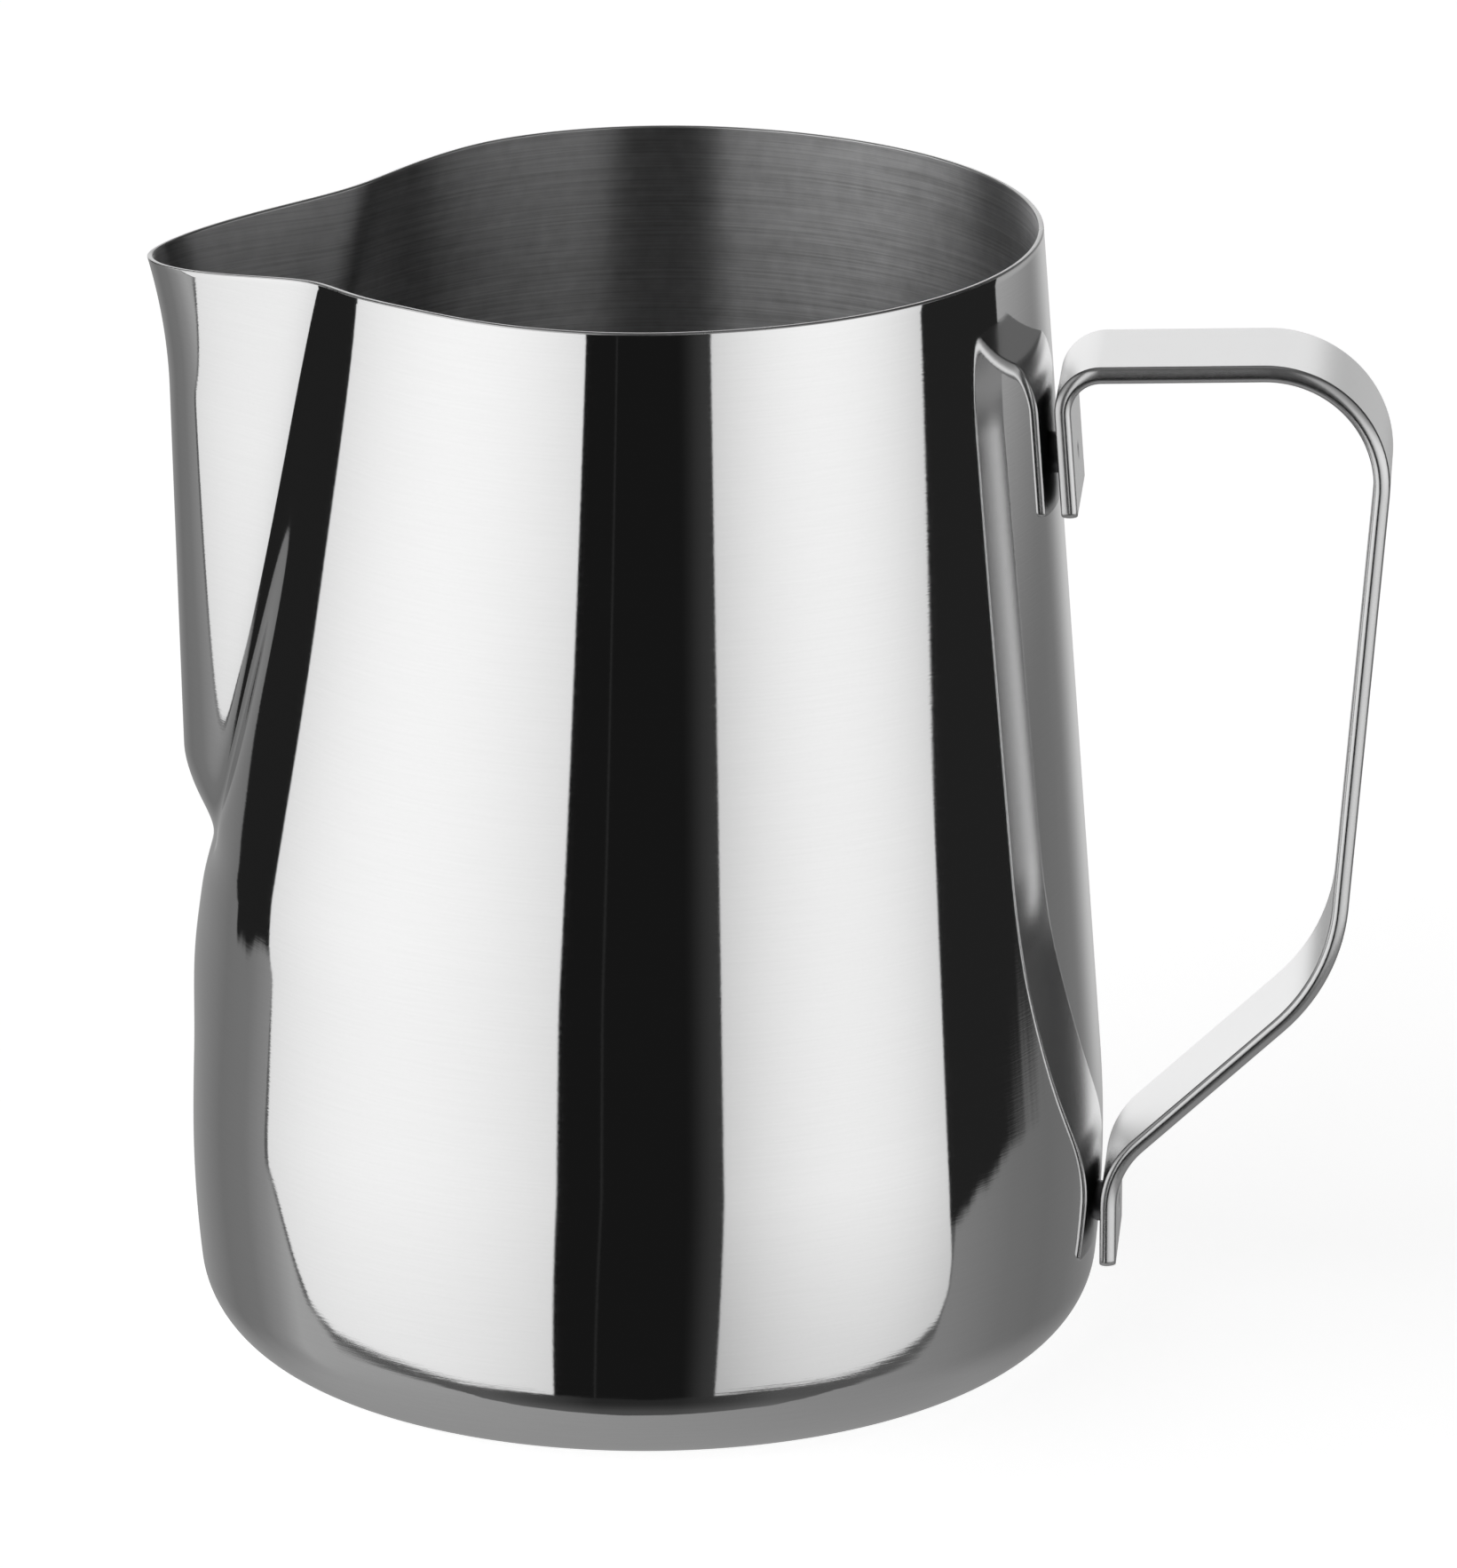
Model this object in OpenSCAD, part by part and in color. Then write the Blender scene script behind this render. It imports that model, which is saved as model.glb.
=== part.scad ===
// Milk frothing pitcher: a drawn steel jug with a pressed spout and a strip handle
// spot-welded to the wall. Millimetres, +Z up, +X towards the handle, -X towards the spout.
// The origin is the centre of the flat base, on the surface the pitcher stands on.

/* [Body] */
// Height of the plain rim above the table
body_h = 125; // [115:1:140]
// Outer radius of the plain rim
rim_r = 43.1; // [40:0.1:46]
// Inward lean of the straight wall, degrees
wall_lean = 4.2; // [3:0.1:5]
// Wall thickness
wall_t = 0.6; // [0.5:0.1:1.2]
// Outer radius of the bottom corner
corner_r = 9.5; // [7:0.5:12]
// Angle turned by the bottom corner before the belly starts, degrees
corner_turn = 84; // [80:1:86]
// Radius of the belly curve that joins the corner to the straight wall
belly_r = 130; // [100:5:150]

/* [Spout] */
// Height where the pressed spout starts
spout_foot_z = 51.6; // [46:0.1:58]
// Height over which the spout steps out from the wall
spout_step_h = 14; // [9:0.5:18]
// Distance from the axis to the spout ridge at the top of the step
spout_ridge_r = 50.9; // [49:0.1:53]
// Outward drift of the ridge for each millimetre of height
spout_ridge_rise = 0.019; // [0:0.001:0.03]
// Height of the flared lip below the plain rim
lip_h = 19; // [12:1:24]
// Extra reach of the flared lip
lip_out = 2; // [0:0.1:4]
// Half angle of the spout seen from above at the rim, degrees
spout_half_angle = 20.9; // [16:0.1:25]
// Depth by which the wall beside the spout is drawn in at the rim
draw_in = 7.4; // [4:0.1:8]
// Fall of the rim for each millimetre towards the tip
rim_fall = 0.125; // [0:0.005:0.16]
// Depth of the pinch just above the foot of the spout
foot_pinch = 0.97; // [0:0.01:1.2]
// Bulge of the wall below the foot of the spout
foot_swell = 0.77; // [0:0.01:1]

/* [Handle] */
// Width of the strip
strip_w = 16.4; // [13:0.1:19]
// Thickness of the strip
strip_t = 1.8; // [1.5:0.1:2.4]
// Radius of the strip's long edges
strip_edge_r = 0.6; // [0.3:0.1:0.7]
// Height of the top bar where it leaves the wall
bar_z = 111.2; // [108:0.1:114]
// Distance from the axis to the upper outer bend
grip_top_x = 81; // [76:0.1:86]
// Height of the upper outer bend
grip_top_z = 112.3; // [109:0.1:116]
// Distance from the axis to the lower outer bend
grip_low_x = 75.6; // [71:0.1:80]
// Height of the lower outer bend
grip_low_z = 43.6; // [40:0.1:48]
// Height where the slanted stretch meets the lower tab
heel_z = 20.7; // [20:0.1:23]
// Height of the lower end of the upper tab
upper_tab_z = 95.2; // [93:0.1:98]
// Height of the lower end of the lower tab
lower_tab_z = 9.4; // [8:0.1:11]
// Gap between a tab and the wall beside its weld
tab_gap = 0.35; // [0.3:0.05:0.5]

/* [Welds] */
// Diameter of a weld nugget
nugget_d = 4.5; // [3:0.5:6]
// Height of the upper weld
upper_weld_z = 100.6; // [99:0.1:104]
// Height of the lower weld
lower_weld_z = 14.4; // [13:0.1:17]

/* [Hidden] */
steel = [0.78, 0.78, 0.79];
satin_steel = [0.72, 0.72, 0.73];
weld_steel = [0.55, 0.55, 0.56];

// bend radii along the middle of the strip, from the upper tab to the lower tab
bar_bend_r = 4.2;
grip_top_bend_r = 12.4;
grip_low_bend_r = 21;
heel_bend_r = 9.9;
tab_corner_r = 0.9;
bend_step = 9;
corner_signs = [[1, 1], [-1, 1], [-1, -1], [1, -1]];
dimple_ball_r = 3;
dimple_depth = 0.22;
nugget_bite = 0.12;

// shape of the spout; a pair holds the value at the spout's foot and the value at the rim
spout_widen = 0.418;
ridge_power = [1.98, 1.74];
crease_depth = [0.179, 0.052];
crease_width = [0.354, 0.513];
crease_place = 1.39;
draw_in_spread = 1.83;
draw_in_foot_z = spout_foot_z + 1.6;
draw_in_soften = 4;
pinch_z = spout_foot_z + 5;
pinch_h = 2.95;
swell_z = spout_foot_z - 9.1;
swell_h = 8.55;
foot_dent_angle = 14;
fall_start = 22;
fall_soften = 4;

// side outline of the round wall
wall_turn = 90 + wall_lean;
corner_top_z = corner_r * (1 - cos(corner_turn));
belly_top_z = corner_top_z + belly_r * (cos(corner_turn) - cos(wall_turn));
belly_top_r = rim_r + (body_h - belly_top_z) * tan(wall_lean);
belly_mid_r = belly_top_r - belly_r * sin(wall_turn);
belly_mid_z = corner_top_z + belly_r * cos(corner_turn);
corner_mid_r = belly_mid_r + (belly_r - corner_r) * sin(corner_turn);

function wall_r(z) =
    z >= belly_top_z ? rim_r + (body_h - z) * tan(wall_lean)
    : z >= corner_top_z ? belly_mid_r + belly_r * sin(acos((belly_mid_z - z) / belly_r))
    : corner_mid_r + corner_r * sin(acos(1 - z / corner_r));

// spout sections: reach of the ridge, drawn-in flanks and falling rim
lip_foot_z = body_h - lip_h;
tip_z = body_h - rim_fall * (spout_ridge_r + lip_out - fall_start);
function ease(t) = t <= 0 ? 0 : t >= 1 ? 1 : t * t * (3 - 2 * t);
function ridge_line(z) =
    spout_ridge_r + spout_ridge_rise * (z - spout_foot_z - spout_step_h)
    + lip_out * pow(max(0, z - lip_foot_z) / (tip_z - lip_foot_z), 2);
function reach(z) = ease((z - spout_foot_z) / spout_step_h) * (ridge_line(z) - wall_r(z));
function up(z) = min(1, max(0, (z - spout_foot_z) / (body_h - spout_foot_z)));
function mix(pair, share) = pair[0] + (pair[1] - pair[0]) * share;
function bell(x) = exp(-x * x);
function spread(z) = spout_half_angle * pow(max(0.01, up(z)), spout_widen);
function soft_start(x, w) = x <= -w ? 0 : x >= w ? x : (x + w) * (x + w) / (4 * w);
function drawn_depth(z) =
    draw_in * soft_start(z - draw_in_foot_z, draw_in_soften) / (body_h - draw_in_foot_z);
function drawn_share(t) = abs(t) * draw_in_spread >= 180 ? 0 : (1 + cos(draw_in_spread * t)) / 2;
function spout_shape(u, share) =
    exp(-pow(abs(u), mix(ridge_power, share)))
    - mix(crease_depth, share) * (1 - exp(-4 * u * u))
    * (bell((u - crease_place) / mix(crease_width, share))
        + bell((u + crease_place) / mix(crease_width, share)));
function foot_dent(t, z) =
    (foot_swell * bell((z - swell_z) / swell_h) - foot_pinch * bell((z - pinch_z) / pinch_h))
    * bell(t / foot_dent_angle);
function skin_r(t, z) =
    wall_r(z) - drawn_depth(z) * drawn_share(t) + foot_dent(t, z)
    + (reach(z) + drawn_depth(z) * ease((z - spout_foot_z) / spout_step_h))
    * spout_shape(t / spread(z), up(z));

function soft_ramp(x, w) = (x + sqrt(x * x + w * w)) / 2;
function rim_z(t) =
    body_h - rim_fall * soft_ramp(skin_r(t, body_h) * cos(t) - fall_start, fall_soften)
    + rim_fall * soft_ramp(-rim_r - fall_start, fall_soften);

// columns round the axis, measured from the spout, closer together at the spout
columns = concat(
    [for (t = [-180:7.5:-60]) t],
    [for (t = [-56:4:-44]) t],
    [for (t = [-41:2.5:-13.5]) t],
    [for (t = [-12:1.5:12]) t],
    [for (t = [13.5:2.5:41]) t],
    [for (t = [44:4:56]) t],
    [for (t = [60:7.5:172.5]) t]
);
corner_steps = 6;
belly_steps = 5;
corner_angles = [for (i = [0:corner_steps - 1]) corner_turn * i / corner_steps];
belly_angles = [for (i = [0:belly_steps - 1]) corner_turn + (wall_turn - corner_turn) * i / belly_steps];
upper_levels = concat(
    [for (i = [0:6]) belly_top_z + (spout_foot_z - belly_top_z) * i / 7],
    [for (i = [0:5]) spout_foot_z + spout_step_h * i / 5],
    [for (i = [1:4]) spout_foot_z + spout_step_h + (lip_foot_z - spout_foot_z - spout_step_h) * i / 5],
    [for (i = [0:4]) lip_foot_z + lip_h * i / 4]
);

// one ring of points at an outline station, inset by a depth along the wall's normal
function low_ring(mid_r, mid_z, r, turn) =
    [for (t = columns)
        let (z = mid_z - r * cos(turn), x = mid_r + r * sin(turn) + foot_dent(t, z))
        [-x * cos(t), x * sin(t), z]];
function high_ring(level, inset) =
    [for (t = columns)
        let (
            share = max(0, level - lip_foot_z) / lip_h,
            z = level + (rim_z(t) - body_h) * share,
            slope = (skin_r(t + 1, z) - skin_r(t - 1, z)) / 2 / (skin_r(t, z) * PI / 180),
            depth = inset * sqrt(1 + slope * slope),
            x = skin_r(t, z) - depth
        )
        [-x * cos(t), x * sin(t), z]];

outer_rings = concat(
    [for (a = corner_angles) low_ring(corner_mid_r, corner_r, corner_r, a)],
    [for (a = belly_angles) low_ring(belly_mid_r, belly_mid_z, belly_r, a)],
    [for (z = upper_levels) high_ring(z, 0)]
);
inner_rings = concat(
    [for (a = corner_angles) low_ring(corner_mid_r, corner_r, corner_r - wall_t, a)],
    [for (a = belly_angles) low_ring(belly_mid_r, belly_mid_z, belly_r - wall_t, a)],
    [for (z = upper_levels) high_ring(z, wall_t)]
);
n_col = len(columns);
n_ring = len(outer_rings);

function ring_pair(a, b, flip) =
    [for (j = [0:n_col - 1])
        let (k = (j + 1) % n_col)
        each flip
            ? [[a + j, b + j, b + k], [a + j, b + k, a + k]]
            : [[a + j, b + k, b + j], [a + j, a + k, b + k]]];

module body_shell() {
    shell_points = concat([for (r = outer_rings) each r], [for (r = inner_rings) each r]);
    inner_start = n_ring * n_col;
    last = (n_ring - 1) * n_col;
    shell_faces = concat(
        [[for (j = [n_col - 1:-1:0]) j]],
        [for (i = [0:n_ring - 2]) each ring_pair(i * n_col, (i + 1) * n_col, false)],
        ring_pair(last, inner_start + last, false),
        [for (i = [0:n_ring - 2])
            each ring_pair(inner_start + i * n_col, inner_start + (i + 1) * n_col, true)],
        [[for (j = [0:n_col - 1]) inner_start + j]]
    );
    color(steel)
        polyhedron(points = shell_points, faces = shell_faces, convexity = 6);
}

// middle line of the strip: upper tab, top bar, grip, slanted stretch, lower tab
tab_stand_off = tab_gap + strip_t / 2;
upper_tab_x = wall_r(upper_tab_z) + tab_stand_off / cos(wall_lean);
bar_x = wall_r(bar_z) + tab_stand_off / cos(wall_lean);
lower_tab_x = wall_r(lower_weld_z) + tab_stand_off;
strip_line = [
    [upper_tab_x, upper_tab_z],
    [bar_x, bar_z],
    [grip_top_x, grip_top_z],
    [grip_low_x, grip_low_z],
    [lower_tab_x, heel_z],
    [lower_tab_x, lower_tab_z]
];
bend_radii = [0, bar_bend_r, grip_top_bend_r, grip_low_bend_r, heel_bend_r, 0];

function heading(a, b) = atan2(b[1] - a[1], b[0] - a[0]);
function turn_at(i) =
    let (d = heading(strip_line[i], strip_line[i + 1]) - heading(strip_line[i - 1], strip_line[i]))
    d > 180 ? d - 360 : d < -180 ? d + 360 : d;
function trim_at(i) =
    bend_radii[i] == 0 ? 0 : bend_radii[i] * tan(abs(turn_at(i)) / 2);

// stations along the strip: position, heading and half width
function end_station(i, from_end) =
    let (
        first = i == 0,
        a = heading(strip_line[first ? 0 : i - 1], strip_line[first ? 1 : i]),
        step = (first ? 1 : -1) * tab_corner_r * (1 - cos(from_end)),
        half = strip_w / 2 - tab_corner_r * (1 - sin(from_end))
    )
    [strip_line[i][0] + step * cos(a), strip_line[i][1] + step * sin(a), a, half];
function bend_stations(i) =
    let (
        turn = turn_at(i),
        side = turn > 0 ? 1 : -1,
        into = heading(strip_line[i - 1], strip_line[i]),
        start = strip_line[i] - trim_at(i) * [cos(into), sin(into)],
        mid = start + bend_radii[i] * side * [-sin(into), cos(into)],
        steps = ceil(abs(turn) / bend_step)
    )
    [for (k = [0:steps])
        let (a = into + turn * k / steps)
        [
            mid[0] + side * bend_radii[i] * sin(a),
            mid[1] - side * bend_radii[i] * cos(a),
            a,
            strip_w / 2
        ]];
stations = concat(
    [for (a = [0:22.5:90]) end_station(0, a)],
    [for (i = [1:4]) each bend_stations(i)],
    [for (a = [90:-22.5:0]) end_station(5, a)]
);

// rounded section of the strip, square to its middle line
function strip_ring(s) =
    [for (q = [0:3]) for (a = [0:30:90])
        let (
            across = corner_signs[q][0] * (strip_t / 2 - strip_edge_r) + strip_edge_r * cos(90 * q + a),
            along_y = corner_signs[q][1] * (s[3] - strip_edge_r) + strip_edge_r * sin(90 * q + a)
        )
        [s[0] - across * sin(s[2]), along_y, s[1] + across * cos(s[2])]];

module bent_strip() {
    n = 16;
    n_station = len(stations);
    polyhedron(
        points = [for (s = stations) each strip_ring(s)],
        faces = concat(
            [[for (j = [0:n - 1]) j]],
            [for (i = [0:n_station - 2]) for (j = [0:n - 1])
                let (k = (j + 1) % n)
                each [
                    [i * n + j, (i + 1) * n + j, (i + 1) * n + k],
                    [i * n + j, (i + 1) * n + k, i * n + k]
                ]],
            [[for (j = [n - 1:-1:0]) (n_station - 1) * n + j]]
        ),
        convexity = 8
    );
}

function tab_face_x(x, z, z0, lean) = x - (z - z0) * tan(lean);

module dimple(x, z, lean) {
    translate([x, 0, z])
        rotate([0, -lean, 0])
            translate([strip_t / 2 + dimple_ball_r - dimple_depth, 0, 0])
                sphere(r = dimple_ball_r, $fn = 48);
}

module handle_strip() {
    color(satin_steel)
        difference() {
            bent_strip();
            dimple(tab_face_x(upper_tab_x, upper_weld_z, upper_tab_z, wall_lean), upper_weld_z, wall_lean);
            dimple(lower_tab_x, lower_weld_z, 0);
        }
}

module nugget(z, lean, tab_x) {
    wall_x = wall_r(z) - nugget_bite;
    inner_x = tab_x - strip_t / 2;
    translate([tab_x, 0, z])
        rotate([0, -lean, 0])
            translate([-strip_t / 2, 0, 0])
                rotate([0, -90, 0])
                    cylinder(d = nugget_d, h = inner_x - wall_x, $fn = 48);
}

module upper_weld() {
    color(weld_steel)
        nugget(upper_weld_z, wall_lean,
            tab_face_x(upper_tab_x, upper_weld_z, upper_tab_z, wall_lean));
}

module lower_weld() {
    color(weld_steel)
        nugget(lower_weld_z, 0, lower_tab_x);
}

body_shell();
handle_strip();
upper_weld();
lower_weld();
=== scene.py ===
import math

import bpy
import numpy as np
from mathutils import Matrix, Vector


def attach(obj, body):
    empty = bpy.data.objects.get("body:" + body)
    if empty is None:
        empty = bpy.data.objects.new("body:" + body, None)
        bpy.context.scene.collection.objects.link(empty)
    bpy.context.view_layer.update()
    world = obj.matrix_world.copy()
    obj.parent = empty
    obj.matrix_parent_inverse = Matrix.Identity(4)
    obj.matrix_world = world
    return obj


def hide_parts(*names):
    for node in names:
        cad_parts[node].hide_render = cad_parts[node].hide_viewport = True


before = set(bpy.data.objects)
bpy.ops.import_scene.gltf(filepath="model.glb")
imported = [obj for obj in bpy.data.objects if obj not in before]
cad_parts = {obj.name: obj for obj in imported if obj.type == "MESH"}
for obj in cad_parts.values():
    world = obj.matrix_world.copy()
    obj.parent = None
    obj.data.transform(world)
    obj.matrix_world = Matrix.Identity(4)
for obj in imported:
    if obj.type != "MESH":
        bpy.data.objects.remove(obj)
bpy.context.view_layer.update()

# ---------------------------------------------------------------- shape of the body, millimetres
BODY_H = 125.0
RIM_R = 43.1
WALL_T = 0.6
RIM_EDGE_R = 0.22
# wall from the top down: straight and leaning, a slightly bulged belly, a tight corner
LEAN = math.radians(4.2)
BELLY_R = 130.0
CORNER_R = 9.5
CORNER_TURN = math.radians(84.0)
# spout ridge: where it starts, how it steps out and widens, and its lip
SPOUT_FOOT = 51.6
SPOUT_STEP = 14.0
RIDGE_R = 50.9
RIDGE_RISE = 0.019
LIP_H = 19.0
LIP_OUT = 2.0
HALF_ANGLE = 20.9
WIDEN = 0.418
# ridge and crease shapes, each at the rim and at the foot
RIDGE_POWER = (1.74, 1.98)
CREASE = (0.052, 0.179)
CREASE_W = (0.513, 0.354)
CREASE_AT = 1.39
# flanks drawn in towards the spout
DRAW_IN = 7.4
DRAW_SPREAD = 1.83
DRAW_FOOT = 53.2
DRAW_SOFT = 4.0
# a pinch and a swell at the foot of the spout: depth, height of the middle, reach
PINCH, PINCH_Z, PINCH_H = 0.97, 56.6, 2.95
SWELL, SWELL_Z, SWELL_H = 0.77, 42.5, 8.55
DENT_ANGLE = 14.0
# the rim falls towards the spout's tip
RIM_FALL = 0.125
FALL_START = 22.0
FALL_SOFT = 4.0
# rings of the body mesh
BASE_RINGS = (0.6, 8, 16, 24, 32, 37)
LEVEL_STEP = 0.7
# which material a ring belongs to: slots of the body object
OUTSIDE, INSIDE, UNDERSIDE, RIM = 0, 1, 2, 3

WALL_TURN = math.pi / 2 + LEAN
CORNER_TOP_Z = CORNER_R * (1 - math.cos(CORNER_TURN))
BELLY_TOP_Z = CORNER_TOP_Z + BELLY_R * (math.cos(CORNER_TURN) - math.cos(WALL_TURN))
BELLY_TOP_R = RIM_R + (BODY_H - BELLY_TOP_Z) * math.tan(LEAN)
BELLY_MID_R = BELLY_TOP_R - BELLY_R * math.sin(WALL_TURN)
BELLY_MID_Z = CORNER_TOP_Z + BELLY_R * math.cos(CORNER_TURN)
CORNER_MID_R = BELLY_MID_R + (BELLY_R - CORNER_R) * math.sin(CORNER_TURN)
LIP_FOOT = BODY_H - LIP_H
TIP_Z = BODY_H - RIM_FALL * (RIDGE_R + LIP_OUT - FALL_START)


def ease(t):
    t = np.clip(t, 0, 1)
    return t * t * (3 - 2 * t)


def wall_r(z):
    z = np.asarray(z, float)
    straight = RIM_R + (BODY_H - z) * math.tan(LEAN)
    belly = BELLY_MID_R + BELLY_R * np.sqrt(np.maximum(0, 1 - ((BELLY_MID_Z - z) / BELLY_R) ** 2))
    return np.where(z >= BELLY_TOP_Z, straight, belly)


def draw_ramp(x):
    soft = (x + DRAW_SOFT) ** 2 / (4 * DRAW_SOFT)
    return np.where(x <= -DRAW_SOFT, 0, np.where(x >= DRAW_SOFT, x, soft))


def foot_dent(t, z):
    pinch = PINCH * np.exp(-(((z - PINCH_Z) / PINCH_H) ** 2))
    swell = SWELL * np.exp(-(((z - SWELL_Z) / SWELL_H) ** 2))
    return (swell - pinch) * np.exp(-((t / DENT_ANGLE) ** 2))


def skin_r(t, z):
    """Outside radius: round wall, drawn-in flanks, spout ridge with creases, dents at its foot."""
    up = np.clip((z - SPOUT_FOOT) / (BODY_H - SPOUT_FOOT), 0, 1)
    power = RIDGE_POWER[1] + (RIDGE_POWER[0] - RIDGE_POWER[1]) * up
    crease = CREASE[1] + (CREASE[0] - CREASE[1]) * up
    crease_w = CREASE_W[1] + (CREASE_W[0] - CREASE_W[1]) * up
    ridge = (
        RIDGE_R
        + RIDGE_RISE * (z - SPOUT_FOOT - SPOUT_STEP)
        + LIP_OUT * (np.maximum(0, z - LIP_FOOT) / (TIP_Z - LIP_FOOT)) ** 2
    )
    step = ease((z - SPOUT_FOOT) / SPOUT_STEP)
    spread = HALF_ANGLE * np.maximum(0.01, up) ** WIDEN
    depth = DRAW_IN * draw_ramp(z - DRAW_FOOT) / (BODY_H - DRAW_FOOT)
    share = np.where(
        np.abs(t) * DRAW_SPREAD >= 180, 0, (1 + np.cos(np.radians(DRAW_SPREAD * t))) / 2
    )
    bulge = step * (ridge - wall_r(z) + depth)
    u = np.abs(t) / spread
    dents = np.exp(-(((u - CREASE_AT) / crease_w) ** 2)) + np.exp(-(((u + CREASE_AT) / crease_w) ** 2))
    shape = np.exp(-(u**power)) - crease * dents * (1 - np.exp(-4 * u * u))
    return wall_r(z) - depth * share + bulge * shape + foot_dent(t, z)


def soft_ramp(x):
    return (x + np.sqrt(x * x + FALL_SOFT * FALL_SOFT)) / 2


def rim_z(t):
    reach = skin_r(t, BODY_H) * np.cos(np.radians(t))
    return (
        BODY_H - RIM_FALL * soft_ramp(reach - FALL_START) + RIM_FALL * soft_ramp(-RIM_R - FALL_START)
    )


def place(r, t, z):
    a = np.radians(t)
    return np.stack([-r * np.cos(a), r * np.sin(a), z + 0 * r], -1)


def low_ring(mid_r, mid_z, r, turn, t):
    z = mid_z - r * math.cos(turn)
    return place(mid_r + r * math.sin(turn) + foot_dent(t, z), t, z)


def high_ring(level, inset, t):
    share = max(0.0, level - LIP_FOOT) / LIP_H
    z = level + (rim_z(t) - BODY_H) * share
    slope = (skin_r(t + 0.5, z) - skin_r(t - 0.5, z)) / (skin_r(t, z) * math.pi / 180)
    return place(skin_r(t, z) - inset * np.sqrt(1 + slope * slope), t, z)


def body_mesh():
    """Rings of points from the middle of the base, up the outside, over the rim and down inside."""
    t = np.concatenate(
        [np.arange(-180, -48, 1.0), np.arange(-48, 48, 0.5), np.arange(48, 180, 1.0)]
    )
    edge = RIM_EDGE_R
    rings, zone = [], []

    def add(ring, part):
        rings.append(ring)
        zone.append(part)

    corner = np.linspace(0, CORNER_TURN, 26)
    belly = np.linspace(CORNER_TURN, WALL_TURN, 30)[1:]
    levels = np.arange(BELLY_TOP_Z + 0.8, BODY_H - edge, LEVEL_STEP)
    for r in BASE_RINGS:
        add(place(r + 0 * t, t, 0.0), UNDERSIDE)
    for a in corner:
        add(low_ring(CORNER_MID_R, CORNER_R, CORNER_R, a, t), OUTSIDE)
    for a in belly:
        add(low_ring(BELLY_MID_R, BELLY_MID_Z, BELLY_R, a, t), OUTSIDE)
    for z in levels:
        add(high_ring(z, 0.0, t), OUTSIDE)
    for a in np.radians(np.arange(0, 91, 15)):
        z = BODY_H - edge + edge * math.sin(a)
        add(high_ring(z, edge - edge * math.cos(a), t), RIM)
    for a in np.radians(np.arange(90, -1, -15)):
        z = BODY_H - edge + edge * math.sin(a)
        add(high_ring(z, WALL_T - edge + edge * math.cos(a), t), RIM)
    for z in levels[::-1][::2]:
        add(high_ring(z, WALL_T, t), INSIDE)
    for a in belly[::-1][::2]:
        add(low_ring(BELLY_MID_R, BELLY_MID_Z, BELLY_R - WALL_T, a, t), INSIDE)
    for a in corner[::-1]:
        add(low_ring(CORNER_MID_R, CORNER_R, CORNER_R - WALL_T, a, t), INSIDE)
    for r in BASE_RINGS[::-1]:
        add(place(r + 0 * t, t, WALL_T), INSIDE)
    return np.array(rings), zone


def make_grid(name, rings, flip=False):
    """Smooth closed mesh through a stack of rings, with a flat cap at each end."""
    n_ring, n = rings.shape[:2]
    verts = rings.reshape(-1, 3) / 1000.0
    i = np.arange(n_ring - 1)[:, None] * n
    j = np.arange(n)[None, :]
    k = (j + 1) % n
    quads = np.stack([i + j, i + k, i + n + k, i + n + j], -1).reshape(-1, 4)
    if flip:
        quads = quads[:, ::-1]
    faces = quads.tolist()
    first = list(range(n))
    last = [(n_ring - 1) * n + q for q in range(n)]
    faces.append(first if flip else first[::-1])
    faces.append(last[::-1] if flip else last)
    mesh = bpy.data.meshes.new(name)
    mesh.from_pydata(verts.tolist(), [], faces)
    mesh.validate()
    mesh.update()
    mesh.polygons.foreach_set("use_smooth", [True] * len(mesh.polygons))
    obj = bpy.data.objects.new(name, mesh)
    bpy.context.scene.collection.objects.link(obj)
    return obj


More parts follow.
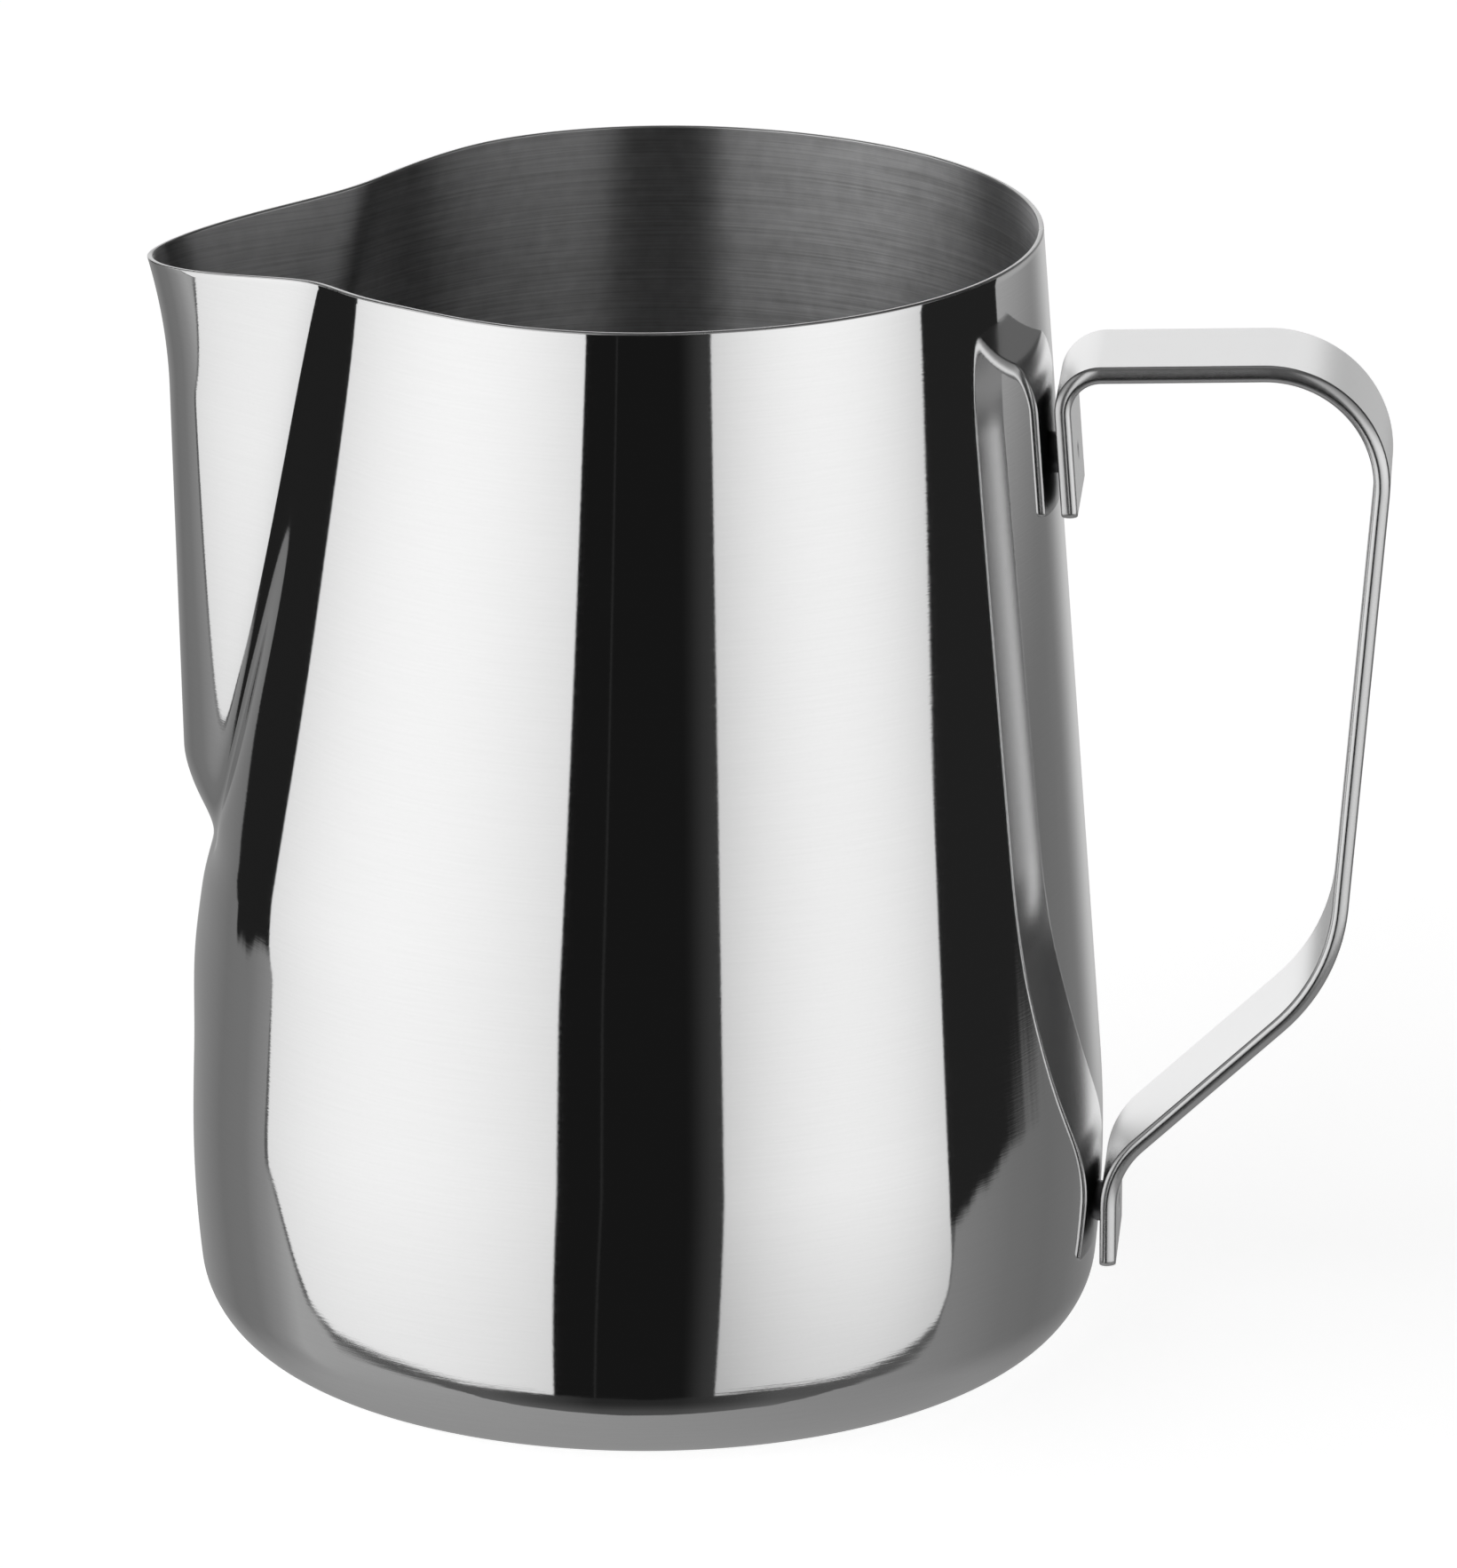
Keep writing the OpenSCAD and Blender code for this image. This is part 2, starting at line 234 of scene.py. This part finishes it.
# ---------------------------------------------------------------- node helpers
class Nodes:
    """Short calls for building a node tree."""

    def __init__(self, tree):
        self.tree = tree
        tree.nodes.clear()

    def new(self, kind, **settings):
        node = self.tree.nodes.new(kind)
        for key, value in settings.items():
            setattr(node, key, value)
        return node

    def link(self, a, b):
        self.tree.links.new(a, b)

    def put(self, socket, value):
        if hasattr(value, "is_output"):
            self.link(value, socket)
        else:
            socket.default_value = value

    def math(self, op, *values, clamp=False):
        node = self.new("ShaderNodeMath", operation=op, use_clamp=clamp)
        for socket, value in zip(node.inputs, values):
            self.put(socket, value)
        return node.outputs[0]

    def step(self, value, low, high):
        """0 below low, 1 above high, smooth between."""
        node = self.new("ShaderNodeMapRange", interpolation_type="SMOOTHSTEP")
        self.put(node.inputs["Value"], value)
        self.put(node.inputs["From Min"], low)
        self.put(node.inputs["From Max"], high)
        return node.outputs[0]

    def remap(self, value, low, high, to_low, to_high):
        node = self.new("ShaderNodeMapRange")
        for socket, v in zip(node.inputs, (value, low, high, to_low, to_high)):
            self.put(socket, v)
        return node.outputs[0]

    def curve(self, value, points, low, high):
        """Piecewise line through (value, result) points, as a ramp of grey stops."""
        pos = self.remap(value, points[0][0], points[-1][0], 0.0, 1.0)
        ramp = self.new("ShaderNodeValToRGB")
        stops = ramp.color_ramp.elements
        span = points[-1][0] - points[0][0]
        while len(stops) < len(points):
            stops.new(0.5)
        for stop, (x, y) in zip(stops, points):
            stop.position = (x - points[0][0]) / span
            g = (y - low) / (high - low)
            stop.color = (g, g, g, 1)
        self.link(pos, ramp.inputs[0])
        return self.remap(ramp.outputs[0], 0.0, 1.0, low, high)

    def noise(self, vector, scale, detail=2.0, rough=0.5):
        node = self.new("ShaderNodeTexNoise")
        self.link(vector, node.inputs["Vector"])
        node.inputs["Scale"].default_value = scale
        node.inputs["Detail"].default_value = detail
        node.inputs["Roughness"].default_value = rough
        return node.outputs["Fac"]

    def stretch(self, vector, scale):
        node = self.new("ShaderNodeMapping")
        self.link(vector, node.inputs["Vector"])
        node.inputs["Scale"].default_value = scale
        return node.outputs[0]


def rgba(sockets, name=None):
    """The colour socket among a Mix node's many."""
    return [s for s in sockets if s.type == "RGBA" and name in (None, s.name)][0]


def steel(name, colour, rough_low, rough_high, lines, line_bump, speckle, tone, aniso=0.0):
    """Bare steel: hairlines round an axis or along one, roughness that follows them, faint mottling."""
    mat = bpy.data.materials.new(name)
    mat.use_nodes = True
    n = Nodes(mat.node_tree)
    out = n.new("ShaderNodeOutputMaterial")
    bsdf = n.new("ShaderNodeBsdfPrincipled")
    n.link(bsdf.outputs[0], out.inputs[0])
    bsdf.inputs["Metallic"].default_value = 1.0
    coords = n.new("ShaderNodeTexCoord").outputs["Object"]
    line_vector = n.stretch(coords, lines)
    hair = n.noise(line_vector, 1.0, 3.0, 0.6)
    mottle = n.noise(coords, speckle, 3.0, 0.55)
    mixed = n.math("MULTIPLY_ADD", hair, 0.7, n.math("MULTIPLY", mottle, 0.3))
    n.link(n.remap(mixed, 0.3, 0.7, rough_low, rough_high), bsdf.inputs["Roughness"])
    mix = n.new("ShaderNodeMix", data_type="RGBA")
    dark = tuple(c * (1 - tone) for c in colour)
    light = tuple(min(1, c * (1 + tone)) for c in colour)
    rgba(mix.inputs, "A").default_value = dark + (1,)
    rgba(mix.inputs, "B").default_value = light + (1,)
    n.link(n.remap(mixed, 0.35, 0.65, 0.0, 1.0), mix.inputs["Factor"])
    n.link(rgba(mix.outputs), bsdf.inputs["Base Color"])
    bump = n.new("ShaderNodeBump")
    bump.inputs["Strength"].default_value = 1.0
    bump.inputs["Distance"].default_value = line_bump
    n.link(mixed, bump.inputs["Height"])
    n.link(bump.outputs[0], bsdf.inputs["Normal"])
    if aniso:
        bsdf.inputs["Anisotropic"].default_value = aniso
        bsdf.inputs["Anisotropic Rotation"].default_value = 0.25
        tangent = n.new("ShaderNodeTangent", direction_type="RADIAL", axis="Z")
        n.link(tangent.outputs[0], bsdf.inputs["Tangent"])
    return mat


polished_steel = steel(
    "polished_steel", (0.9, 0.9, 0.9), 0.02, 0.05, (120, 120, 4500), 1.5e-6, 2500, tone=0.012
)
brushed_inside = steel(
    "brushed_inside", (0.66, 0.66, 0.665), 0.38, 0.5, (45, 45, 3800), 4e-6, 500, tone=0.2, aniso=1.0
)
turned_base = steel("turned_base", (0.7, 0.7, 0.71), 0.2, 0.32, (60, 60, 60), 3e-6, 400, tone=0.05)
cut_rim = steel("cut_rim", (0.6, 0.6, 0.6), 0.25, 0.35, (400, 400, 400), 2e-6, 900, tone=0.05)
satin_steel = steel(
    "satin_steel", (0.8, 0.8, 0.802), 0.22, 0.27, (2500, 2500, 2500), 0, 6000, tone=0.012
)
weld_steel = steel(
    "weld_steel", (0.42, 0.42, 0.43), 0.35, 0.55, (1500, 1500, 1500), 2e-5, 2500, tone=0.1
)

# ---------------------------------------------------------------- body
rings, zone = body_mesh()
body = make_grid("pitcher_body", rings)
for material in (polished_steel, brushed_inside, turned_base, cut_rim):
    body.data.materials.append(material)
n_col = rings.shape[1]
index = np.zeros(len(body.data.polygons), int)
for i, (below, above) in enumerate(zip(zone, zone[1:])):
    # only faces between two rim rings are rim: its neighbours keep the wall's finish
    part = below if above == RIM else above if below == RIM else max(below, above)
    index[i * n_col : (i + 1) * n_col] = part
index[-2] = UNDERSIDE
index[-1] = INSIDE
body.data.polygons.foreach_set("material_index", index.tolist())
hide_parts("body_shell")
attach(body, "root")

# ---------------------------------------------------------------- handle
STRIP_W = 16.4
STRIP_T = 1.8
# crown of the long edges: (turn from the edge's middle in degrees, bend radius) up to each face
EDGE_MID_R, EDGE_MID_TURN = 0.45, 10
OUTER_BENDS = ((41, 1.5), (60, 0.7), (90, 0.3))
INNER_BENDS = ((25, 1.0), (56, 0.6), (90, 0.3))
END_R = 0.45
TAB_CORNER = 0.9
TAB_GAP = 0.35
# heights of the tabs' ends, the top bar, the heel and the welds
UPPER_TAB_Z = 95.2
LOWER_TAB_Z = 9.4
BAR_Z = 111.2
HEEL_Z = 20.7
UPPER_WELD_Z = 100.6
LOWER_WELD_Z = 14.4
GRIP_TOP = (81.0, 112.3)
GRIP_LOW = (75.6, 43.6)
DIMPLE_R = 1.13
DIMPLE_DEPTH = 0.22

stand_off = TAB_GAP + STRIP_T / 2
upper_tab_x = float(wall_r(UPPER_TAB_Z)) + stand_off / math.cos(LEAN)
bar_x = float(wall_r(BAR_Z)) + stand_off / math.cos(LEAN)
low_x = float(wall_r(LOWER_WELD_Z)) + stand_off
# corners of the strip's middle line, as (x, z), and the bend radius at each
LINE = [
    (upper_tab_x, UPPER_TAB_Z),
    (bar_x, BAR_Z),
    GRIP_TOP,
    GRIP_LOW,
    (low_x, HEEL_Z),
    (low_x, LOWER_TAB_Z),
]
BENDS = [0, 4.2, 12.4, 21.0, 9.9, 0]
# welds, as (height, lean of the tab, x of the strip's middle there)
WELDS = [
    (UPPER_WELD_Z, LEAN, upper_tab_x - (UPPER_WELD_Z - UPPER_TAB_Z) * math.tan(LEAN)),
    (LOWER_WELD_Z, 0.0, low_x),
]


def strip_line():
    """Points along the middle of the strip with headings: straights joined by round bends."""
    pts = [np.array(p) for p in LINE]
    out = []
    here = pts[0]
    for i in range(1, len(pts)):
        a, b = pts[i - 1], pts[i]
        into = math.atan2(*(b - a)[::-1])
        trim = 0.0
        if BENDS[i]:
            c = pts[i + 1]
            turn = math.atan2(*(c - b)[::-1]) - into
            turn = (turn + math.pi) % (2 * math.pi) - math.pi
            trim = BENDS[i] * math.tan(abs(turn) / 2)
        stop = b - trim * np.array([math.cos(into), math.sin(into)])
        length = np.linalg.norm(stop - here)
        # the tabs get closer points, for the dimples
        gap = 0.3 if i in (1, len(pts) - 1) else 1.0
        shares = np.linspace(0, 1, max(2, int(length / gap)) + 1)
        for s in shares[:-1] if BENDS[i] else shares:
            p = here + (stop - here) * s
            out.append((p[0], p[1], into))
        if BENDS[i]:
            side = 1 if turn > 0 else -1
            mid = stop + BENDS[i] * side * np.array([-math.sin(into), math.cos(into)])
            steps = max(4, int(abs(turn) / math.radians(3)))
            for k in range(steps + 1):
                h = into + turn * k / steps
                x = mid[0] + side * BENDS[i] * math.sin(h)
                z = mid[1] - side * BENDS[i] * math.cos(h)
                out.append((x, z, h))
            here = np.array(out.pop()[:2])
    return np.array(out)


def edge_profile():
    """The strip's crowned long edge from inner to outer face: thickness offset and pull-in."""
    step = 2.0
    angle = np.arange(-90 + step / 2, 90, step)
    bend = np.full(len(angle), EDGE_MID_R)
    for side, bends in ((1, OUTER_BENDS), (-1, INNER_BENDS)):
        low = EDGE_MID_TURN
        for high, r in bends:
            bend[(side * angle > low) & (side * angle < high)] = r
            low = high
    angle, step = np.radians(angle), math.radians(step)
    thick = np.concatenate([[0], np.cumsum(bend * np.cos(angle) * step)])
    pull = np.concatenate([[0], np.cumsum(bend * np.sin(angle) * step)])
    scale = STRIP_T / thick[-1]
    return (thick * scale - STRIP_T / 2)[::3], ((pull - pull.min()) * scale)[::3]


def handle_mesh():
    """Rings of points round the strip, one at each station along its middle line."""
    line = strip_line()
    gaps = np.linalg.norm(np.diff(line[:, :2], axis=0), axis=1)
    run = np.concatenate([[0], np.cumsum(gaps)])
    total = run[-1]
    # extra stations at both ends for the rounded corners
    near = TAB_CORNER * (1 - np.cos(np.radians(np.arange(0, 91, 6))))
    fine = END_R * (1 - np.cos(np.radians(np.arange(0, 91, 15))))
    ends = np.unique(np.round(np.concatenate([near, fine]), 5))
    keep = (run > TAB_CORNER + 0.1) & (run < total - TAB_CORNER - 0.1)
    s_all = np.concatenate([ends, run[keep], total - ends[::-1]])
    x = np.interp(s_all, run, line[:, 0])
    z = np.interp(s_all, run, line[:, 1])
    h = np.interp(s_all, run, line[:, 2])
    thick, pull = edge_profile()
    flat = np.linspace(-1, 1, 61)[1:-1]
    rings = []
    for s, px, pz, head in zip(s_all, x, z, h):
        e = min(s, total - s)
        half = STRIP_W / 2
        if e < TAB_CORNER:
            half -= TAB_CORNER - math.sqrt(max(0, TAB_CORNER**2 - (TAB_CORNER - e) ** 2))
        scale = 1.0
        if e < END_R:
            shrink = END_R - math.sqrt(max(0, END_R**2 - (END_R - e) ** 2))
            scale = 1 - shrink / (STRIP_T / 2)
            half -= shrink
        across = scale * np.concatenate(
            [thick, STRIP_T / 2 + 0 * flat, thick[::-1], -STRIP_T / 2 + 0 * flat]
        )
        along = np.concatenate(
            [
                half - pull * scale,
                -flat * (half - pull[-1] * scale),
                -half + pull[::-1] * scale,
                flat * (half - pull[0] * scale),
            ]
        )
        rings.append(
            np.stack([px - across * math.sin(head), along, pz + across * math.cos(head)], -1)
        )
    rings = np.array(rings)
    # weld dimples pressed into the outer faces of both tabs
    for wz, lean, mid_x in WELDS:
        out_dir = np.array([math.cos(lean), 0, math.sin(lean)])
        centre = np.array([mid_x, 0, wz]) + out_dir * STRIP_T / 2
        d = rings - centre
        height = d @ out_dir
        dist = np.linalg.norm(d - height[..., None] * out_dir, axis=-1)
        push = DIMPLE_DEPTH * np.clip(1 - (dist / DIMPLE_R) ** 2, 0, 1)
        push *= np.abs(height) < 0.3  # not the face that lies on the wall
        rings -= push[..., None] * out_dir
    return rings


handle = make_grid("pitcher_handle", handle_mesh(), flip=True)
handle.data.materials.append(satin_steel)
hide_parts("handle_strip")
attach(handle, "root")

for name in ("upper_weld", "lower_weld"):
    node = bpy.data.objects[name]
    node.data.materials.clear()
    node.data.materials.append(weld_steel)

# ---------------------------------------------------------------- floor
# A pale floor just under the base. It glows a little so that it meets the white background,
# reflections don't see it, and from underneath it is clear.
FLOOR_REACH = 20.0
FLOOR_DROP = 0.0003
FLOOR_GREY = 0.8
FLOOR_GLOW = 0.8
corners = [(x * FLOOR_REACH, y * FLOOR_REACH, 0) for x, y in ((-1, -1), (1, -1), (1, 1), (-1, 1))]
floor_mesh = bpy.data.meshes.new("floor")
floor_mesh.from_pydata(corners, [], [(0, 1, 2, 3)])
floor = bpy.data.objects.new("floor", floor_mesh)
bpy.context.scene.collection.objects.link(floor)
floor.location.z = -FLOOR_DROP
floor.visible_glossy = False
floor_mat = bpy.data.materials.new("pale_floor")
floor_mat.use_nodes = True
n = Nodes(floor_mat.node_tree)
out = n.new("ShaderNodeOutputMaterial")
diffuse = n.new("ShaderNodeBsdfDiffuse")
diffuse.inputs["Color"].default_value = (FLOOR_GREY, FLOOR_GREY, FLOOR_GREY, 1)
emission = n.new("ShaderNodeEmission")
emission.inputs["Strength"].default_value = FLOOR_GLOW
both = n.new("ShaderNodeAddShader")
n.link(diffuse.outputs[0], both.inputs[0])
n.link(emission.outputs[0], both.inputs[1])
clear = n.new("ShaderNodeBsdfTransparent")
pick = n.new("ShaderNodeMixShader")
n.link(n.new("ShaderNodeNewGeometry").outputs["Backfacing"], pick.inputs[0])
n.link(both.outputs[0], pick.inputs[1])
n.link(clear.outputs[0], pick.inputs[2])
n.link(pick.outputs[0], out.inputs[0])
floor_mesh.materials.append(floor_mat)

# ---------------------------------------------------------------- studio light
# White panels, black gaps and a grey surround, laid out by direction: azimuth 0 is the
# camera's side and 90 the handle's side, elevation 0 the horizon, all in degrees.
TURN = math.radians(5.23)
DEG = 180 / math.pi
PANEL_GAIN = 1 / 0.9  # the polished steel's own reflectance
RIGHT_GAP_LEVEL = 0.0155
LEFT_GAP_LEVEL = 0.014
MIDDLE_GAP_LEVEL = 0.0085
BACK_LEVEL = 1.05
world = bpy.data.worlds.new("studio")
bpy.context.scene.world = world
world.use_nodes = True
n = Nodes(world.node_tree)
out = n.new("ShaderNodeOutputWorld")
background = n.new("ShaderNodeBackground")
n.link(background.outputs[0], out.inputs[0])
direction = n.new("ShaderNodeTexCoord").outputs["Generated"]
turned = n.new("ShaderNodeVectorRotate", rotation_type="Z_AXIS")
n.link(direction, turned.inputs["Vector"])
turned.inputs["Angle"].default_value = -TURN
sep = n.new("ShaderNodeSeparateXYZ")
n.link(turned.outputs[0], sep.inputs[0])
az = n.math(
    "MULTIPLY", n.math("ARCTAN2", sep.outputs[0], n.math("MULTIPLY", sep.outputs[1], -1.0)), DEG
)
el = n.math("MULTIPLY", n.math("ARCSINE", sep.outputs[2]), DEG)
# small wandering of the gaps' lower ends
rag = n.math("MULTIPLY", n.math("SUBTRACT", n.noise(direction, 16.0, 3.0, 0.5), 0.5), 1.8)


def window(value, low, high, soft=0.35):
    """1 between low and high, 0 outside, soft at both ends."""
    rise = n.step(value, n.math("SUBTRACT", low, soft), n.math("ADD", low, soft))
    fall = n.step(value, n.math("SUBTRACT", high, soft), n.math("ADD", high, soft))
    return n.math("SUBTRACT", rise, fall, clamp=True)


def blend(mask, low, high):
    """low where the mask is 0, high where it is 1."""
    return n.math("MULTIPLY_ADD", mask, n.math("SUBTRACT", high, low), low)


def hump(centre, reach):
    """1 at the centre azimuth, falling off to both sides, never below a half."""
    x = n.math("DIVIDE", n.math("SUBTRACT", az, centre), reach)
    return n.math("MAXIMUM", n.math("MULTIPLY_ADD", n.math("MULTIPLY", x, x), -1.0, 1.0), 0.5)


# degrees below the lower part of the panels, where they dim
below = n.math("MAXIMUM", n.math("SUBTRACT", -8.0, el), 0.0)

# grey surround: a belt under the panels, a plainer grey further down
belt = n.curve(
    az,
    [(-180, 0.33), (-165, 0.29), (-150, 0.22), (-137, 0.165), (-122, 0.18), (-112, 0.25),
     (-104, 0.36), (-60, 0.33), (0, 0.27), (60, 0.245), (85, 0.21), (104, 0.165), (120, 0.15),
     (136, 0.165), (152, 0.205), (168, 0.26), (180, 0.33)],
    0.0, 0.5,
)
deep = n.math("MULTIPLY_ADD", sep.outputs[0], -0.05, 0.28)
surround = blend(n.step(el, -48.0, -26.0), deep, belt)

# white panels, with their lower edge and the lower edge of the dark line under them
low_edge = n.curve(
    az,
    [(-112, -16.9), (-110, -17.5), (-107, -18.9), (-104, -21), (-101, -23.4), (-97, -25.9),
     (-90, -27.6), (-80, -28.8), (-70, -29.8), (-60, -30.8), (-50, -31.8), (-40, -32.3),
     (-25, -33), (0, -34), (15, -33.2), (30, -32.3), (40, -32), (50, -31.5), (60, -30.6),
     (70, -29.2), (75, -28.2), (80, -26.8), (82, -25), (84, -22)],
    -40.0, 0.0,
)
dark_edge = n.curve(
    az,
    [(-112, -17.2), (-110, -17.9), (-107, -19.6), (-104, -22), (-100, -25.2), (-90, -28.6),
     (-80, -29.9), (-70, -31.3), (-60, -32.8), (-53, -35), (-45, -41), (-38, -44.5), (-23, -49),
     (-8, -52), (7, -51.5), (22, -48.5), (37, -45), (45, -40), (52, -35), (60, -32.7),
     (67, -31.4), (75, -29.7), (80, -28), (84, -23)],
    -60.0, 0.0,
)
over = n.math("SUBTRACT", el, low_edge)
panel_low = n.step(over, -0.25, 0.25)
drop = n.math("MINIMUM", n.math("ADD", el, 10.0), 0.0)
inner = n.math("SUBTRACT", az, n.math("MULTIPLY", drop, 0.152))
inner_right = n.math("SUBTRACT", az, n.math("MULTIPLY", drop, 0.06))
left_edge = n.curve(
    el,
    [(-24, -103), (-20, -107.8), (-18.2, -109.8), (-16.8, -110.5), (-15.5, -110.5),
     (-14.2, -112.4), (-13, -113.6), (-10, -114.3), (-8, -113)],
    -120.0, -100.0,
)
right_edge = n.curve(
    el,
    [(-22, 82.5), (-18, 80.8), (-14, 79.8), (-12, 80.7), (-10.6, 83.2), (-9.5, 84.8)],
    70.0, 90.0,
)
left_mask = n.math("MULTIPLY", window(inner, -200.0, -22.3), window(az, left_edge, 0.0))
right_mask = n.math("MULTIPLY", window(inner_right, 18.6, 200.0), window(az, 0.0, right_edge))
left_dim = n.math("MULTIPLY_ADD", below, -0.0065, 0.905 * PANEL_GAIN)
right_dim = n.math("MULTIPLY_ADD", below, -0.0115, 0.875 * PANEL_GAIN)
left_level = n.math("MULTIPLY", hump(-68.0, 102.0), left_dim)
right_level = n.math("MULTIPLY", hump(52.0, 61.0), right_dim)
# only the inside of the pitcher sees the top of the right panel
right_high = n.curve(az, [(18, 0.6), (35, 0.42), (55, 0.26), (82, 0.17)], 0.0, 1.0)
right_level = blend(n.step(el, 0.0, 22.0), right_level, right_high)

# the two black gaps beside the panels, with ragged lower ends
gap_right_low = n.curve(
    az,
    [(80, -19.8), (84, -18.9), (90, -17.6), (97, -16.7), (104, -15.4), (119, -15.0)],
    -30.0, 0.0,
)
gap_right = n.math(
    "MULTIPLY",
    window(az, right_edge, 119.0),
    n.step(n.math("SUBTRACT", n.math("ADD", el, rag), gap_right_low), -0.8, 0.8),
)
gap_left_low = n.curve(
    az, [(-138, -15.2), (-129, -14.9), (-119, -13.9), (-111, -13.0)], -30.0, 0.0
)
gap_left_back = n.curve(
    el, [(-16, -131), (-13, -132), (-11.6, -139.2), (-9, -139.8)], -142.0, -120.0
)
gap_left = n.math(
    "MULTIPLY",
    window(az, gap_left_back, left_edge, 0.4),
    n.step(n.math("SUBTRACT", n.math("ADD", el, rag), gap_left_low), -0.6, 0.6),
)

# the middle gap, its faint seam, its glow by the right panel and its soft lower end
seam = n.math("MULTIPLY", window(inner, -11.5, -10.9, 0.15), 0.012)
glow = n.math("MULTIPLY", n.step(inner_right, 9.0, 18.0), 0.03)
middle_level = n.math("ADD", n.math("ADD", seam, glow), MIDDLE_GAP_LEVEL)
middle_level = blend(n.step(el, 0.0, 30.0), middle_level, 0.06)
middle_low = n.math("MULTIPLY", n.step(el, -33.5, -49.0), 0.05)

# above the horizon: a pale wall straight behind, dimming upwards towards the handle's side
back_right = n.math("MULTIPLY", n.step(az, 118.6, 119.4), n.step(el, -14.5, -10.5))
near_low = n.remap(n.step(az, 145.0, 165.0), 0.0, 1.0, 0.38, 0.66)
rise_near = blend(n.step(el, 0.0, 22.0), near_low, 0.08)
rise_far = n.remap(n.step(el, -14.0, 10.0), 0.0, 1.0, 0.62, 1.0)
back_right_level = blend(n.step(az, 157.0, 164.0), rise_near, rise_far)
back_left = n.math("MULTIPLY", n.step(az, -149.0, -151.0), n.step(el, -13.0, -8.0))
far_back = n.step(n.math("ABSOLUTE", az), 138.0, 146.0)
far_share = n.math("MAXIMUM", n.step(az, 142.0, 168.0), n.step(az, -168.0, -178.0))
far_side = n.math("MULTIPLY", far_share, n.step(el, -22.5, -17.5))

# all the layers, from the back to the front
level = blend(far_side, surround, 0.56)
level = blend(back_right, level, back_right_level)
level = blend(back_left, level, BACK_LEVEL)
line_mask = n.math(
    "MULTIPLY", n.step(n.math("SUBTRACT", el, dark_edge), -0.6, 0.6), window(az, -112.0, 83.0)
)
line_level = n.curve(
    az,
    [(-110, 0.1), (-45, 0.09), (-30, 0.05), (-15, 0.02), (8, 0.02), (22, 0.045), (35, 0.08),
     (83, 0.1)],
    0.0, 0.5,
)
line_level = n.math("ADD", line_level, middle_low)
level = blend(line_mask, level, line_level)
middle_left = n.step(inner, -22.65, -21.95)
middle_right = n.step(inner_right, 18.95, 18.25)
middle_mask = n.math("MULTIPLY", n.math("MULTIPLY", middle_left, middle_right), panel_low)
level = blend(middle_mask, level, middle_level)
level = blend(n.math("MULTIPLY", left_mask, panel_low), level, left_level)
level = blend(n.math("MULTIPLY", right_mask, panel_low), level, right_level)
level = blend(gap_right, level, RIGHT_GAP_LEVEL)
level = blend(gap_left, level, LEFT_GAP_LEVEL)
level = blend(n.math("MULTIPLY", far_back, n.step(el, 22.0, 33.0)), level, 0.05)
level = blend(n.step(el, 45.0, 60.0), level, 0.08)
level = blend(n.step(el, 70.0, 80.0), level, 0.2)

# the camera itself sees a plain white background
seen = n.new("ShaderNodeLightPath").outputs["Is Camera Ray"]
level = blend(seen, level, BACK_LEVEL)
n.link(level, background.inputs["Color"])
background.inputs["Strength"].default_value = 1.0

# ---------------------------------------------------------------- camera
PAN = math.radians(0.4879) - TURN
PITCH = math.radians(18.2547)
ROLL = math.radians(-0.1846)
EYE = Vector((96.6, -1055.7, 411.3)) / 1000
FOCAL_PX = 11477.9
LONG_SIDE_PX = 1766
SENSOR = 36.0
level_ahead = Vector((math.sin(PAN), math.cos(PAN), 0))
forward = level_ahead * math.cos(PITCH) - Vector((0, 0, math.sin(PITCH)))
level_right = Vector((math.cos(PAN), -math.sin(PAN), 0))
level_up = level_right.cross(forward)
right = level_right * math.cos(ROLL) + level_up * math.sin(ROLL)
up = level_up * math.cos(ROLL) - level_right * math.sin(ROLL)
camera_data = bpy.data.cameras.new("camera")
camera_data.sensor_width = SENSOR
camera_data.lens = SENSOR * FOCAL_PX / LONG_SIDE_PX
camera = bpy.data.objects.new("camera", camera_data)
bpy.context.scene.collection.objects.link(camera)
turned_camera = Matrix((right, up, -forward)).transposed()
camera.matrix_world = Matrix.Translation(EYE) @ turned_camera.to_4x4()
bpy.context.scene.camera = camera
bpy.context.scene.view_settings.view_transform = "Standard"
